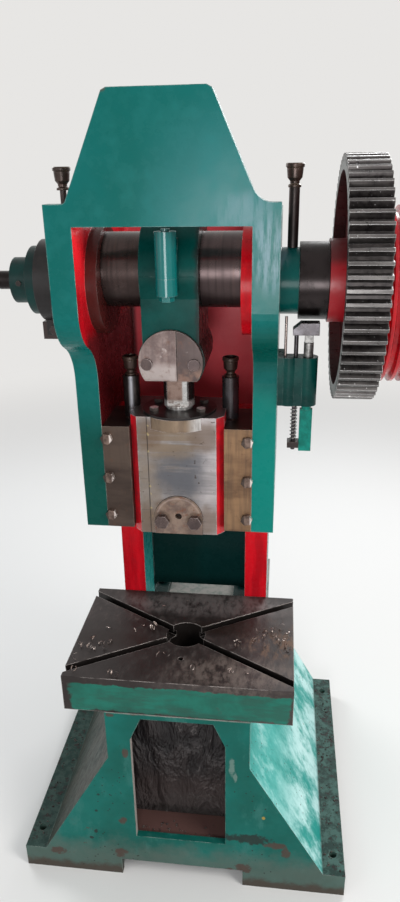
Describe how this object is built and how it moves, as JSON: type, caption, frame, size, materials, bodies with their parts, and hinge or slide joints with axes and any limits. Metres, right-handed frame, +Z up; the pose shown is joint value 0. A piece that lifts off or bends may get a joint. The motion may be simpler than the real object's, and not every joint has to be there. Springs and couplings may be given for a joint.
{
  "type": "mechanical stamping press",
  "caption": "C-frame eccentric press: crank and connecting rod drive a guided slide over a slotted bolster, with gear drive, pin clutch and band brake.",
  "frame": {"origin": "centre of the foot bolt pattern, on the floor", "axes": "+Z up along the press, +Y from the operator's front to the back, +X to the operator's right, towards the flywheel"},
  "size_m": [0.866, 0.7218, 1.721],
  "materials": {
    "frame_paint": "glossy teal green enamel, red inside the head",
    "stand_paint": "teal green enamel, scuffed and chipped to rust",
    "green_paint": "glossy teal green enamel",
    "red_paint": "glossy red enamel",
    "brake_paint": "dark green enamel with oil and dust",
    "dark_steel": "dark oily steel",
    "crank_steel": "turned steel, brown with oil",
    "gear_iron": "greasy cut iron, worn bright on the teeth",
    "gib_steel": "brown tarnished steel",
    "bolster_steel": "oily brown steel, green paint on the front edge",
    "slide_steel": "worn ground steel with stains, red on the flanks",
    "clamp_steel": "rust-stained steel",
    "bright_steel": "bright worn steel",
    "spring_steel": "spring wire",
    "bronze": "bearing bronze",
    "lining": "woven brake lining"
  },
  "bodies": {
    "frame_body": {"pedestal": "stand_paint", "window_guard": "dark_steel", "frame": "frame_paint", "frame_bolts": "dark_steel", "bolster_plate": "bolster_steel", "gib_left": "gib_steel", "gib_right": "gib_steel", "gib_bolts": "gib_steel", "oil_post_left": "dark_steel", "oil_post_right": "dark_steel", "gib_oil_cups": "dark_steel", "main_bush_left": "bronze", "main_bush_right": "bronze", "bearing_oil_pipes": "dark_steel", "bearing_oil_cups": "dark_steel", "back_bush_left": "bronze", "back_bush_right": "bronze", "brake_anchor": "dark_steel", "brake_band": "brake_paint", "brake_lining": "lining", "brake_bolt": "dark_steel", "brake_spring": "spring_steel", "trip_bracket": "green_paint", "bracket_bolts": "dark_steel", "guide_rod": "bright_steel", "trip_spring": "spring_steel"},
    "trip": {"trip_wedge": "gib_steel", "trip_bar": "green_paint", "trip_crosspiece": "dark_steel"},
    "crank": {"crankshaft": "crank_steel", "brake_drum": "brake_paint", "brake_drum_key": "dark_steel", "drum_screw": "dark_steel", "clutch_drum": "crank_steel", "clutch_key": "dark_steel", "clutch_pin": "bright_steel", "crank_collar": "crank_steel"},
    "gear": {"bull_gear": "gear_iron", "gear_bush": "bronze"},
    "flywheel_shaft": {"back_shaft": "crank_steel", "pinion": "gear_iron", "pinion_key": "dark_steel", "flywheel": "red_paint", "flywheel_key": "dark_steel", "back_shaft_collar": "crank_steel"},
    "rod": {"rod_body": "green_paint", "rod_cap": "green_paint", "rod_bolts": "green_paint", "pin_shell_upper": "bronze", "pin_shell_lower": "bronze", "screw_clamp": "clamp_steel", "clamp_bolts": "dark_steel", "ball_screw": "bright_steel"},
    "slide": {"ram": "slide_steel", "ball_flange": "dark_steel", "flange_bolts": "bright_steel", "ball_seat": "bronze", "tool_clamp": "clamp_steel", "tool_clamp_bolts": "dark_steel", "shank_screw": "dark_steel"}
  },
  "joints": [
    {"name": "crank_turn", "type": "hinge", "parent": "frame_body", "child": "crank", "pos_m": [0, -0.167, 1.408], "axis": [-1, 0, 0], "range_deg": [0, 180]},
    {"name": "rod_swing", "type": "hinge", "parent": "crank", "child": "rod", "pos_m": [0, -0.167, 1.428], "axis": [-1, 0, 0], "range_deg": [-180, 0]},
    {"name": "slide_stroke", "type": "slide", "parent": "frame_body", "child": "slide", "axis": [0, 0, 1], "range_m": [-0.04, 0]},
    {"name": "flywheel_spin", "type": "hinge", "parent": "frame_body", "child": "flywheel_shaft", "pos_m": [0, 0.08395, 1.34], "axis": [1, 0, 0], "continuous": true},
    {"name": "gear_spin", "type": "hinge", "parent": "frame_body", "child": "gear", "pos_m": [0, -0.167, 1.408], "axis": [1, 0, 0], "continuous": true},
    {"name": "trip_slide", "type": "slide", "parent": "frame_body", "child": "trip", "axis": [0, 0, 1], "range_m": [-0.025, 0], "stiffness_N_per_m": 600, "springref_m": 0.05, "deforming": ["trip_spring"]}
  ],
  "couplings": [
    {"joint": "rod_swing", "follows": "crank_turn", "ratio": -1},
    {"joint": "slide_stroke", "follows": "crank_turn", "m_per_rad": -0.012732},
    {"joint": "gear_spin", "follows": "flywheel_spin", "ratio": -0.23077}
  ]
}
